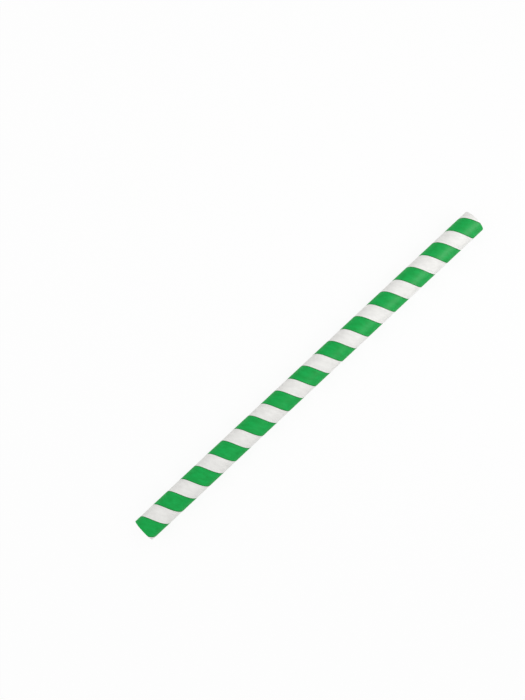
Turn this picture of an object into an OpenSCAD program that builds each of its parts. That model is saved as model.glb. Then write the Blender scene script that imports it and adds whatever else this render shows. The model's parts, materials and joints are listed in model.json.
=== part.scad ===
// Paper drinking straw: a spiral-wound tube of white paper, open right through and cut square,
// with one stripe printed on its outer ribbon. It lies along X on the surface z = 0, with the
// middle of its length over the origin.

/* [Tube] */
// Outside diameter of the paper
tube_d = 12; // [6:0.5:14]
// Length from one cut end to the other
tube_len = 220; // [100:5:260]
// Thickness of the wall, all glued plies together
wall = 0.55; // [0.3:0.05:0.9]

/* [Stripe] */
// Advance of the winding, and so of the stripe, along the straw in one turn
wrap_pitch = 17.6; // [14:0.2:24]
// Width of the stripe, square across the ribbon that it is printed on
stripe_w = 8.45; // [3:0.05:9]
// Height of the printed film over the paper
print_h = 0.03; // [0.02:0.01:0.1]

/* [Rest] */
// Roll of the straw about its axis, which carries the stripe's start from +Y up towards +Z
roll = 127.5; // [0:0.5:360]

/* [Hidden] */

// Facets of a circle in the preview
$fn = 96;

tube_r = tube_d / 2;
bore_r = tube_r - wall;
print_r = tube_r + print_h;

// Angle between the winding and a square cut through the straw
wrap_angle = atan(wrap_pitch / (PI * tube_d));
// Room that the stripe takes along the straw
stripe_run = stripe_w / cos(wrap_angle);

// Straight steps in one turn of the ridge that cuts the stripe out
turn_steps = 24;
// How far a cutting solid reaches past what it cuts
clear = 0.1;

// The straw as it is wound, about Z, is rolled and laid along X with the print on z = 0
module lay() {
    translate([0, 0, print_r])
        rotate([90, 0, 90])
            rotate([0, 0, roll])
                children();
}

// A tube about Z with its middle at the origin
module tube(outer_r, inner_r) {
    difference() {
        cylinder(r = outer_r, h = tube_len, center = true);
        cylinder(r = inner_r, h = tube_len + 2 * clear, center = true);
    }
}

// Point on the winding, a number of steps up from where the stripe starts at the lower end
function wound(radius, step, lift) = [
    radius * cos(step * 360 / turn_steps),
    radius * sin(step * 360 / turn_steps),
    -tube_len / 2 + step * wrap_pitch / turn_steps + lift
];

// A ridge of rectangular section that winds round the tube, a given run wide along it. It starts
// below the lower end and stops above the upper one, so that both ends cut it.
module ridge(run) {
    inner_r = tube_r - clear;
    outer_r = print_r / cos(180 / turn_steps) + clear;
    section = [[inner_r, 0], [outer_r, 0], [outer_r, run], [inner_r, run]];
    first = -ceil((run + clear) * turn_steps / wrap_pitch);
    last = ceil((tube_len + clear) * turn_steps / wrap_pitch);
    points = [
        for (step = [first:last])
            for (corner = section)
                wound(corner[0], step, corner[1])
    ];
    sides = [
        for (a = [0:4:4 * (last - first) - 1])
            for (side = [0:3])
                let (b = a + side, c = a + (side + 1) % 4)
                    for (triangle = [[b, c, b + 4], [c, c + 4, b + 4]])
                        triangle
    ];
    end = 4 * (last - first);
    caps = [[3, 2, 1, 0], [end, end + 1, end + 2, end + 3]];
    polyhedron(points = points, faces = concat(sides, caps), convexity = 10);
}

// The whole wall: plies of white paper, glued into one
module paper_tube() {
    color("#f2f1ec")
        lay()
            tube(tube_r, bore_r);
}

// The print: a film on the paper, as wide as the stripe and cut off square with the tube's ends
module green_stripe() {
    color("#23a050")
        lay()
            intersection() {
                tube(print_r, tube_r);
                ridge(stripe_run);
            }
}

paper_tube();
green_stripe();
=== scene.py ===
import json
import math

import bpy
from mathutils import Matrix, Vector, noise


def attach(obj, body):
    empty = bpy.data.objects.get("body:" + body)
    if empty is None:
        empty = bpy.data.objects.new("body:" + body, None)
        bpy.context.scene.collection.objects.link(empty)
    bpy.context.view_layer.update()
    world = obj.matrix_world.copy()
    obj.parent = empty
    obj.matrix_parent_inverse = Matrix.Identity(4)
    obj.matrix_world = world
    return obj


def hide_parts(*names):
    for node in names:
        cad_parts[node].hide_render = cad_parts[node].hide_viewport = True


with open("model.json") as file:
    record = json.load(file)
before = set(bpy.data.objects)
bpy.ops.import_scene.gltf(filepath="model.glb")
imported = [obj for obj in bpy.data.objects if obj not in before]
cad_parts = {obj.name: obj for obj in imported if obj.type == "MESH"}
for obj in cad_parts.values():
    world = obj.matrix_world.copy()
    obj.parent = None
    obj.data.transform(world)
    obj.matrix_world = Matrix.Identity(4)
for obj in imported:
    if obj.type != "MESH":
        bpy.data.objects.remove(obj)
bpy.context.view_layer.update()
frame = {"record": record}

MM = 0.001

# The tube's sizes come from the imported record, in mm
mounts = {mount["name"]: mount for mount in frame["record"]["mounts"]}
TUBE_R = mounts["outside"]["dims"]["r_mm"]
BORE_R = mounts["bore"]["dims"]["r_mm"]
TUBE_LEN = mounts["outside"]["dims"]["length_mm"]
AXIS_Z = mounts["outside"]["pos_m"][2] / MM

# The winding and the stripe repeat the part's own sizes, in mm and degrees
WRAP_PITCH = 17.6
STRIPE_W = 8.45
PRINT_H = 0.03
ROLL = 127.5

# Angle of the winding, and the degrees round the tube that one mm across the ribbon takes
WRAP = math.atan(WRAP_PITCH / (2 * math.pi * TUBE_R))
DEG_PER_MM = 360 / (WRAP_PITCH * math.cos(WRAP))

# Finishes of the wall's faces, in the order of its materials
PAPER, CUT, GLUE = 0, 1, 2

# Where the plies meet in the wall: a thin printed ribbon over three thicker ones
PLY_FACES = [TUBE_R, TUBE_R - 0.1, TUBE_R - 0.25, TUBE_R - 0.4, BORE_R]
# How far back the knife left each ply's end, from the outer one in
PLY_BACK = [0.0, 0.008, 0.002, 0.01]
# A glue line is a few thousandths of a mm wide. It is drawn wider here, so that it shows.
GLUE_W = 0.03
GLUE_DEPTH = 0.03
# Width of the sloping sides of a glue line
GLUE_SLOPE = 0.007

# Phases on the ribbon are degrees from the stripe's leading edge. Each ply's edges butt in a seam.
SEAM_OPEN = 0.09
SEAM_DEPTH = 0.06
SEAM_SIDE = SEAM_OPEN / 2 * DEG_PER_MM
# Degrees in which a seam drops to its full depth, and how far beside it the paper lies flat
SEAM_DROP = 0.25
SEAM_BESIDE = 1.2
# A phase counts as in a seam when it lies more than this many degrees inside the seam's edge
SEAM_WITHIN = 0.1
OUTER_SEAM = 0.5 * DEG_PER_MM
INNER_SEAMS = [OUTER_SEAM + 84, OUTER_SEAM + 171, OUTER_SEAM + 262]
# Depth and half width of the hollow that an inner seam leaves in the surface
HOLLOW = 0.012
HOLLOW_REACH = 0.35 * DEG_PER_MM

# The knife pressed the rim down by this much at the cut, and less and less until this far from it
RIM_PRESS = 0.035
RIM_REACH = 0.2
RIM_CURVE = 2.5
# It also left a small bevel at the edge of the bore: mm out into the wall, and mm along the bore
BORE_EDGE = 0.03
BORE_EDGE_RUN = 0.05
# Places close to a cut end where the meshes have a loop, so that the pressed rim curves
NEAR_END = [0, 0.02, 0.05, 0.1, 0.18]
# Least distance between two loops over a cut end
LOOP_GAP = 0.002

# Widest steps of the meshes: degrees round the wall, mm across the print, and mm along both
WALL_TURN = 7.3
PRINT_ACROSS = 0.27
WALL_STEP = WRAP_PITCH / 50
PRINT_STEP = WRAP_PITCH / 60

# The print's sides round off: mm in from the side, and mm above the paper
PRINT_SIDE = [(0, 0.012), (0.03, 0.024), (0.1, PRINT_H)]
# Its underside lies this deep in the paper, so that no gap shows
PRINT_SUNK = 0.02
# What lies this close to a side wavers with it, by up to this much, in waves of this length
WAVER_ZONE = 0.15
WAVER = 0.035
WAVE_LEN = 2.3
# Where the noise is read for the waver of each side
WAVER_ROWS = (3.7, 41.2)

# Clouds in the sheet are 2 to 3 mm wide and drawn out along the machine's run
CLOUD = (1.8, 4.5)
# Wood fibres are about 0.03 mm by 2 mm. They are drawn 0.12 mm wide, so that they show.
FIBRE = (0.12, 1.9)

# Sockets of a Mix node that mixes colours
SHARE, FIRST, SECOND, MIXED = 0, 6, 7, 2


def on_winding(phase, run, radius):
    """Point in the row frame at a phase of the ribbon and a run along the tube from its left end."""
    turn = math.radians(ROLL + phase + 360 * run / WRAP_PITCH)
    return (
        (run - TUBE_LEN / 2) * MM,
        radius * math.cos(turn) * MM,
        (AXIS_Z + radius * math.sin(turn)) * MM,
    )


def on_ribbon(phase, run):
    """The same place on the ribbon laid flat: mm across it and mm along it."""
    arc = TUBE_R * math.radians(phase)
    return (arc * math.sin(WRAP), arc * math.cos(WRAP) + run / math.sin(WRAP))


def apart(a, b):
    """Degrees between two phases, the short way round."""
    return abs((a - b + 180) % 360 - 180)


def in_seam(phase, seam):
    """Whether a phase lies at the bottom of a seam, between its two edges."""
    return apart(phase, seam) < SEAM_SIDE - SEAM_WITHIN


def hollow(phase):
    """How far the outer ribbon sinks over the seams of the plies under it."""
    near = min(apart(phase, seam) for seam in INNER_SEAMS)
    return HOLLOW * (0.5 + 0.5 * math.cos(math.pi * min(near / HOLLOW_REACH, 1)))


def pressed(run):
    """How far the knife pressed the rim down, close to a cut end."""
    from_end = min(run, TUBE_LEN - run)
    return RIM_PRESS * max(0, 1 - from_end / RIM_REACH) ** RIM_CURVE


def filled(stops, widest):
    """The stops, with even steps between them that are no wider than the widest."""
    out = []
    for a, b in zip(stops, stops[1:]):
        steps = math.ceil((b - a) / widest - 1e-6)
        out += [a + (b - a) * step / steps for step in range(steps)]
    return out + [stops[-1]]


def runs(step, at_ends):
    """Places along the tube, a step apart, with the given ones close to both cut ends."""
    count = round(TUBE_LEN / step)
    even = [TUBE_LEN * place / count for place in range(1, count)]
    return [*at_ends, *even, *[TUBE_LEN - run for run in reversed(at_ends)]]


def wound_piece(name, corners, faces, kinds, materials):
    """A smooth piece of (phase, run, radius) corners, with the flat ribbon in mm as its UV map.

    Corners named beside a face lie one turn on, across the outer seam. A face is split from its
    first corner to its third. The winding shears the faces, so each is turned to be split the
    short way, and the wall stays round.
    """
    points = [Vector(on_winding(*corner)) for corner in corners]
    split = []
    for (a, b, c, d), turned in faces:
        short = (points[a] - points[c]).length <= (points[b] - points[d]).length
        split.append(((a, b, c, d) if short else (b, c, d, a), turned))
    mesh = bpy.data.meshes.new(name)
    mesh.from_pydata(points, [], [face for face, _ in split])
    for material in materials:
        mesh.materials.append(material)
    mesh.polygons.foreach_set("material_index", kinds)
    spots = []
    for face, turned in split:
        for corner in face:
            phase, run, _ = corners[corner]
            spots += on_ribbon(phase + (360 if corner in turned else 0), run)
    mesh.uv_layers.new(name="ribbon").uv.foreach_set("vector", spots)
    mesh.update()
    mesh.shade_smooth()
    mesh.set_sharp_from_angle(angle=math.radians(32))
    piece = bpy.data.objects.new(name, mesh)
    bpy.context.scene.collection.objects.link(piece)
    return piece


def cut_end(columns, outside, bore):
    """Loops over a cut end from its rim in: their radii, how far back they lie, and their finish."""
    flat = []
    for ply, seam in enumerate([OUTER_SEAM, *INNER_SEAMS]):
        back = [PLY_BACK[ply] + SEAM_DEPTH * in_seam(phase, seam) for phase in columns]
        glued = [PLY_BACK[ply] + GLUE_DEPTH] * len(columns)
        inner = PLY_FACES[ply + 1] + GLUE_W / 2
        if ply > 0:
            flat.append((PLY_FACES[ply] - GLUE_W / 2, back, CUT))
        if ply < 3:
            flat += [(inner, back, CUT), (inner - GLUE_SLOPE, glued, GLUE),
                     (inner - GLUE_W + GLUE_SLOPE, glued, GLUE)]
    loops = []
    last = [radius - pressed(0) for radius in outside]
    for radius, back, finish in flat:
        # Each loop keeps inside the one before it, also where the seam cuts into the rim
        last = [min(radius, before - LOOP_GAP) for before in last]
        loops.append((last, back, finish))
    loops.append(([radius + BORE_EDGE for radius in bore], flat[-1][1], CUT))
    return loops


def paper_wall(materials):
    """The wall as loops round the tube: outside, right cut end, bore, and left cut end."""
    bottom = SEAM_SIDE - SEAM_DROP
    sides = (bottom, SEAM_SIDE, SEAM_SIDE + SEAM_BESIDE)
    stops = [OUTER_SEAM + side for side in sides]
    for seam in INNER_SEAMS:
        stops += [seam + side for side in (-SEAM_SIDE, -bottom, bottom, SEAM_SIDE)]
    stops += [OUTER_SEAM + 360 - side for side in reversed(sides)]
    columns = filled(stops, WALL_TURN)
    wide = len(columns)

    outside = [TUBE_R - hollow(p) - SEAM_DEPTH * in_seam(p, OUTER_SEAM) for p in columns]
    bore = [BORE_R + SEAM_DEPTH * in_seam(p, INNER_SEAMS[2]) for p in columns]
    end = cut_end(columns, outside, bore)

    loops = []
    for run in runs(WALL_STEP, NEAR_END):
        loops.append(([radius - pressed(run) for radius in outside], [run] * wide, PAPER))
    loops += [(radii, [TUBE_LEN - b for b in back], finish) for radii, back, finish in end]
    for run in reversed(runs(WALL_STEP, [BORE_EDGE_RUN])):
        loops.append((bore, [run] * wide, PAPER))
    loops += reversed(end)

    corners = [corner for radii, places, _ in loops for corner in zip(columns, places, radii)]
    faces, kinds = [], []
    for loop, (_, _, finish) in enumerate(loops):
        following = (loop + 1) % len(loops)
        here, after = loop * wide, following * wide
        # Where two finishes meet, the face has the one that comes later in the list
        kinds += [max(finish, loops[following][2])] * wide
        for a in range(wide):
            b = (a + 1) % wide
            turned = (here, after) if b == 0 else ()
            faces.append(((here + b, after + b, after + a, here + a), turned))
    return wound_piece("paper_wall", corners, faces, kinds, materials)


def printed_stripe(materials):
    """The print: a thin film on the outer ribbon, rounded off at its sides, which waver a little."""
    flat_from = PRINT_SIDE[-1][0]
    middle = filled([flat_from, STRIPE_W - flat_from], PRINT_ACROSS)[1:-1]
    top = [*PRINT_SIDE, *[(across, PRINT_H) for across in middle]]
    top += [(STRIPE_W - across, height) for across, height in reversed(PRINT_SIDE)]
    section = [*top, *[(across, -PRINT_SUNK) for across, _ in reversed(top)]]
    wide, half = len(section), len(top)
    places = runs(PRINT_STEP, NEAR_END)

    corners = []
    for run in places:
        along = run / math.sin(WRAP)
        near, far = [WAVER * noise.noise(Vector((along / WAVE_LEN, row, 0))) for row in WAVER_ROWS]
        for across, height in section:
            shift = near * (across < WAVER_ZONE) + far * (across > STRIPE_W - WAVER_ZONE)
            phase = (across + shift - STRIPE_W) * DEG_PER_MM
            corners.append((phase, run, TUBE_R + height - hollow(phase) - pressed(run)))
    faces = []
    for place in range(len(places) - 1):
        here, after = place * wide, (place + 1) * wide
        for a in range(wide):
            b = (a + 1) % wide
            faces.append(((here + b, after + b, after + a, here + a), ()))
    last = (len(places) - 1) * wide
    for a in range(half - 1):
        under, under_next = wide - 1 - a, wide - 2 - a
        faces.append(((a, under, under_next, a + 1), ()))
        faces.append(((last + a, last + a + 1, last + under_next, last + under), ()))
    return wound_piece("green_print", corners, faces, [0] * len(faces), materials)


def linear(code):
    """Linear colour of an sRGB hex code."""
    parts = [int(code[place:place + 2], 16) / 255 for place in (1, 3, 5)]
    return (*[p / 12.92 if p <= 0.04045 else ((p + 0.055) / 1.055) ** 2.4 for p in parts], 1)


def add(owner, kind, values=None, links=None, **settings):
    """Adds a node with its settings, the values of its sockets, and the sockets that feed it."""
    made = owner.node_tree.nodes.new(kind)
    for name, value in settings.items():
        setattr(made, name, value)
    for socket, value in (values or {}).items():
        made.inputs[socket].default_value = value
    for socket, source in (links or {}).items():
        owner.node_tree.links.new(source, made.inputs[socket])
    return made


def blank(name):
    """A material with no nodes."""
    material = bpy.data.materials.new(name)
    material.use_nodes = True
    material.node_tree.nodes.clear()
    return material


def pulp_grain(owner, size, detail):
    """Grain of the sheet's pulp, of a size in mm across and along the flat ribbon."""
    flat = add(owner, "ShaderNodeUVMap", uv_map="ribbon")
    place = add(owner, "ShaderNodeMapping", {"Scale": (1 / size[0], 1 / size[1], 1)},
                {"Vector": flat.outputs["UV"]})
    pulp = add(owner, "ShaderNodeTexNoise", {"Scale": 1.0, "Detail": detail, "Roughness": 0.6},
               {"Vector": place.outputs["Vector"]})
    return pulp.outputs["Fac"]


def seen_white(owner):
    """1 for the rays that show a backdrop: straight from the camera, mirrored, or through glass."""
    ray = add(owner, "ShaderNodeLightPath")
    direct = add(owner, "ShaderNodeMath", None,
                 {0: ray.outputs["Is Camera Ray"], 1: ray.outputs["Is Glossy Ray"]},
                 operation="ADD")
    seen = add(owner, "ShaderNodeMath", None,
               {0: direct.outputs["Value"], 1: ray.outputs["Is Transmission Ray"]},
               operation="ADD")
    return seen.outputs["Value"]


def bleached_kraft():
    """Bleached kraft paper, calendered and uncoated: matte and nearly white, with a slight warm
    tint, faint clouds where the pulp lies thicker, and fibres that run along the ribbon."""
    paper = blank("bleached_kraft_paper")
    cloud = pulp_grain(paper, CLOUD, detail=3.0)
    fibre = pulp_grain(paper, FIBRE, detail=4.0)
    thick = add(paper, "ShaderNodeMapRange", {"From Min": 0.35, "From Max": 0.65},
                {"Value": cloud})
    tone = add(paper, "ShaderNodeMix", {FIRST: linear("#F4F3F0"), SECOND: linear("#EAE9E6")},
               {SHARE: thick.outputs["Result"]}, data_type="RGBA")
    streak = add(paper, "ShaderNodeMapRange",
                 {"From Min": 0.35, "From Max": 0.75, "To Min": 0.0, "To Max": 0.28},
                 {"Value": fibre})
    colour = add(paper, "ShaderNodeMix", {SECOND: linear("#DDDBD7")},
                 {SHARE: streak.outputs["Result"], FIRST: tone.outputs[MIXED]}, data_type="RGBA")
    matte = add(paper, "ShaderNodeMapRange", {"To Min": 0.7, "To Max": 0.84}, {"Value": fibre})
    # Fibres stand about 0.006 mm out of the sheet
    relief = add(paper, "ShaderNodeBump", {"Strength": 0.7, "Distance": 0.006 * MM},
                 {"Height": fibre})
    sheet = add(paper, "ShaderNodeBsdfPrincipled", {"IOR": 1.5},
                {"Base Color": colour.outputs[MIXED], "Roughness": matte.outputs["Result"],
                 "Normal": relief.outputs["Normal"]})
    add(paper, "ShaderNodeOutputMaterial", None, {"Surface": sheet.outputs["BSDF"]})
    return paper


def flexo_ink():
    """Water-based green ink, printed by flexography and dry: a leaf green with a soft sheen, a
    little mottled, with pinholes over high fibres and a darker rim squeezed out at each side."""
    ink = blank("green_flexo_ink")
    # The ink takes its mottle from the sheet's clouds, and its pinholes follow the fibres
    cloud = pulp_grain(ink, CLOUD, detail=3.0)
    fibre = pulp_grain(ink, FIBRE, detail=4.0)
    laid = add(ink, "ShaderNodeMapRange", {"From Min": 0.25, "From Max": 0.75}, {"Value": cloud})
    tone = add(ink, "ShaderNodeMix", {FIRST: linear("#03993E"), SECOND: linear("#0AB050")},
               {SHARE: laid.outputs["Result"]}, data_type="RGBA")
    thin = add(ink, "ShaderNodeMapRange",
               {"From Min": 0.62, "From Max": 0.8, "To Min": 0.0, "To Max": 0.45},
               {"Value": fibre})
    holed = add(ink, "ShaderNodeMix", {SECOND: linear("#4DBF78")},
                {SHARE: thin.outputs["Result"], FIRST: tone.outputs[MIXED]}, data_type="RGBA")
    # The squeezed rim is 0.1 mm wide. It is drawn 0.4 mm wide, so that it shows.
    flat = add(ink, "ShaderNodeUVMap", uv_map="ribbon")
    across = add(ink, "ShaderNodeSeparateXYZ", None, {"Vector": flat.outputs["UV"]})
    centred = add(ink, "ShaderNodeMath", {1: STRIPE_W / 2}, {0: across.outputs["X"]},
                  operation="ADD")
    outward = add(ink, "ShaderNodeMath", None, {0: centred.outputs["Value"]},
                  operation="ABSOLUTE")
    rim = add(ink, "ShaderNodeMapRange",
              {"From Min": STRIPE_W / 2 - 0.5, "From Max": STRIPE_W / 2 - 0.3,
               "To Min": 0.0, "To Max": 0.9},
              {"Value": outward.outputs["Value"]})
    colour = add(ink, "ShaderNodeMix", {SECOND: linear("#057A33")},
                 {SHARE: rim.outputs["Result"], FIRST: holed.outputs[MIXED]}, data_type="RGBA")
    sheen = add(ink, "ShaderNodeMapRange", {"To Min": 0.5, "To Max": 0.66}, {"Value": fibre})
    # The ink half fills the relief of the fibres
    relief = add(ink, "ShaderNodeBump", {"Strength": 0.8, "Distance": 0.004 * MM},
                 {"Height": fibre})
    film = add(ink, "ShaderNodeBsdfPrincipled", {"IOR": 1.48, "Specular IOR Level": 0.2},
               {"Base Color": colour.outputs[MIXED], "Roughness": sheen.outputs["Result"],
                "Normal": relief.outputs["Normal"]})
    add(ink, "ShaderNodeOutputMaterial", None, {"Surface": film.outputs["BSDF"]})
    return ink


def knife_cut_paper():
    """Kraft paper cut across by a round knife: rougher and a little greyer than its face, with
    the ends of the fibres showing."""
    cut = blank("knife_cut_paper")
    place = add(cut, "ShaderNodeTexCoord")
    # Fibre ends are about 0.03 mm across. They are drawn 0.06 mm across, so that they show.
    ends = add(cut, "ShaderNodeTexNoise",
               {"Scale": 1 / (0.06 * MM), "Detail": 3.0, "Roughness": 0.6},
               {"Vector": place.outputs["Object"]})
    colour = add(cut, "ShaderNodeMix", {FIRST: linear("#EDEAE4"), SECOND: linear("#D3CFC7")},
                 {SHARE: ends.outputs["Fac"]}, data_type="RGBA")
    relief = add(cut, "ShaderNodeBump", {"Strength": 0.8, "Distance": 0.012 * MM},
                 {"Height": ends.outputs["Fac"]})
    edge = add(cut, "ShaderNodeBsdfPrincipled", {"IOR": 1.5, "Roughness": 0.92},
               {"Base Color": colour.outputs[MIXED], "Normal": relief.outputs["Normal"]})
    add(cut, "ShaderNodeOutputMaterial", None, {"Surface": edge.outputs["BSDF"]})
    return cut


def dried_glue():
    """Starch glue, rolled between the plies and dried: cream, a little glossier than the paper,
    and uneven where it ran out."""
    glue = blank("dried_starch_glue")
    place = add(glue, "ShaderNodeTexCoord")
    # The glue starts and stops about every half mm along the ply
    uneven = add(glue, "ShaderNodeTexNoise", {"Scale": 1 / (0.5 * MM), "Detail": 2.0},
                 {"Vector": place.outputs["Object"]})
    colour = add(glue, "ShaderNodeMix", {FIRST: linear("#C9C1AE"), SECOND: linear("#B1A88F")},
                 {SHARE: uneven.outputs["Fac"]}, data_type="RGBA")
    line = add(glue, "ShaderNodeBsdfPrincipled", {"IOR": 1.46, "Roughness": 0.5},
               {"Base Color": colour.outputs[MIXED]})
    add(glue, "ShaderNodeOutputMaterial", None, {"Surface": line.outputs["BSDF"]})
    return glue


def white_card():
    """The white card under the straw. The camera sees it nearly white, with a faint shadow."""
    card = blank("white_card")
    place = add(card, "ShaderNodeTexCoord")
    # Grain of the card, about 0.4 mm
    grain = add(card, "ShaderNodeTexNoise", {"Scale": 1 / (0.4 * MM), "Detail": 2.0},
                {"Vector": place.outputs["Object"]})
    colour = add(card, "ShaderNodeMix", {FIRST: linear("#F9F9F9"), SECOND: linear("#F5F5F5")},
                 {SHARE: grain.outputs["Fac"]}, data_type="RGBA")
    matte = add(card, "ShaderNodeBsdfDiffuse", None, {"Color": colour.outputs[MIXED]})
    white = add(card, "ShaderNodeEmission", {"Color": (1, 1, 1, 1), "Strength": 1.0})
    # Nine tenths of what is seen is plain white. The rest is the card, which keeps the shadow.
    share = add(card, "ShaderNodeMath", {1: 0.9}, {0: seen_white(card)}, operation="MULTIPLY")
    surface = add(card, "ShaderNodeMixShader", None,
                  {0: share.outputs["Value"], 1: matte.outputs["BSDF"],
                   2: white.outputs["Emission"]})
    add(card, "ShaderNodeOutputMaterial", None, {"Surface": surface.outputs["Shader"]})
    return card


def softbox(name, place, target, power, size, spread):
    """A soft lamp with a grid, which keeps its light within an angle round its target."""
    data = bpy.data.lights.new(name, "AREA")
    data.shape = "RECTANGLE"
    data.size, data.size_y = size
    data.spread = math.radians(spread)
    data.energy = power
    data.color = (1.0, 1.0, 0.99)
    lamp = bpy.data.objects.new(name, data)
    bpy.context.scene.collection.objects.link(lamp)
    lamp.location = place
    lamp.rotation_euler = (Vector(target) - Vector(place)).to_track_quat("-Z", "Y").to_euler()
    return lamp


def studio():
    """Even light from all round, stronger overhead, and a softbox over the right-hand end."""
    world = bpy.data.worlds.new("studio")
    bpy.context.scene.world = world
    world.use_nodes = True
    world.node_tree.nodes.clear()
    way = add(world, "ShaderNodeTexCoord")
    rise = add(world, "ShaderNodeSeparateXYZ", None, {"Vector": way.outputs["Generated"]})
    # The level of the light that comes in flat, and of the light from straight overhead
    level = add(world, "ShaderNodeMapRange", {"To Min": 0.37, "To Max": 1.16},
                {"Value": rise.outputs["Z"]})
    soft = add(world, "ShaderNodeBackground", {"Color": (1, 1, 1, 1)},
               {"Strength": level.outputs["Result"]})
    # As pale as the card is far off, so that no horizon shows
    white = add(world, "ShaderNodeBackground", {"Color": linear("#FCFCFC"), "Strength": 1.0})
    both = add(world, "ShaderNodeMixShader", None,
               {0: seen_white(world), 1: soft.outputs["Background"],
                2: white.outputs["Background"]})
    add(world, "ShaderNodeOutputWorld", None, {"Surface": both.outputs["Shader"]})

    place, target = (0.195, -0.207, 0.265), (0.095, 0, 0)
    softbox("softbox", place, target, power=0.034, size=(0.13, 0.3), spread=65)
    # A second one in the same place strengthens the sheen and nothing else
    sheen = softbox("sheen_softbox", place, target, power=0.205, size=(0.13, 0.12), spread=55)
    sheen.visible_diffuse = False


def floor(material, reach):
    """A plain floor at z = 0 that reaches this many metres each way. It isn't part of the straw."""
    mesh = bpy.data.meshes.new("floor")
    mesh.from_pydata([(-reach, -reach, 0), (reach, -reach, 0), (reach, reach, 0),
                      (-reach, reach, 0)], [], [(0, 1, 2, 3)])
    mesh.materials.append(material)
    ground = bpy.data.objects.new("floor", mesh)
    bpy.context.scene.collection.objects.link(ground)


def camera(target, backward, upward, distance, lens):
    """A camera that looks at a target from a distance, with a given way up in the picture."""
    backward = Vector(backward).normalized()
    across = Vector(upward).cross(backward).normalized()
    upward = backward.cross(across)
    data = bpy.data.cameras.new("camera")
    data.lens = lens
    data.sensor_width = 36
    data.clip_start, data.clip_end = 0.01, 20
    made = bpy.data.objects.new("camera", data)
    bpy.context.scene.collection.objects.link(made)
    turned = Matrix((across, upward, backward)).transposed().to_4x4()
    made.matrix_world = Matrix.Translation(Vector(target) + backward * distance) @ turned
    bpy.context.scene.camera = made


bpy.context.scene.view_settings.view_transform = "Standard"

# The camera stands almost over the straw, which leans 43 degrees in the picture
camera(target=(-8.8 * MM, 24.9 * MM, 0), backward=(-0.0559, -0.0597, 0.9967),
       upward=(0.683, 0.730, 0), distance=572.7 * MM, lens=60)
studio()
floor(white_card(), reach=3)

wall = paper_wall([bleached_kraft(), knife_cut_paper(), dried_glue()])
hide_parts("paper_tube")
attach(wall, "root")

stripe = printed_stripe([flexo_ink()])
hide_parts("green_stripe")
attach(stripe, "root")

bpy.context.view_layer.update()
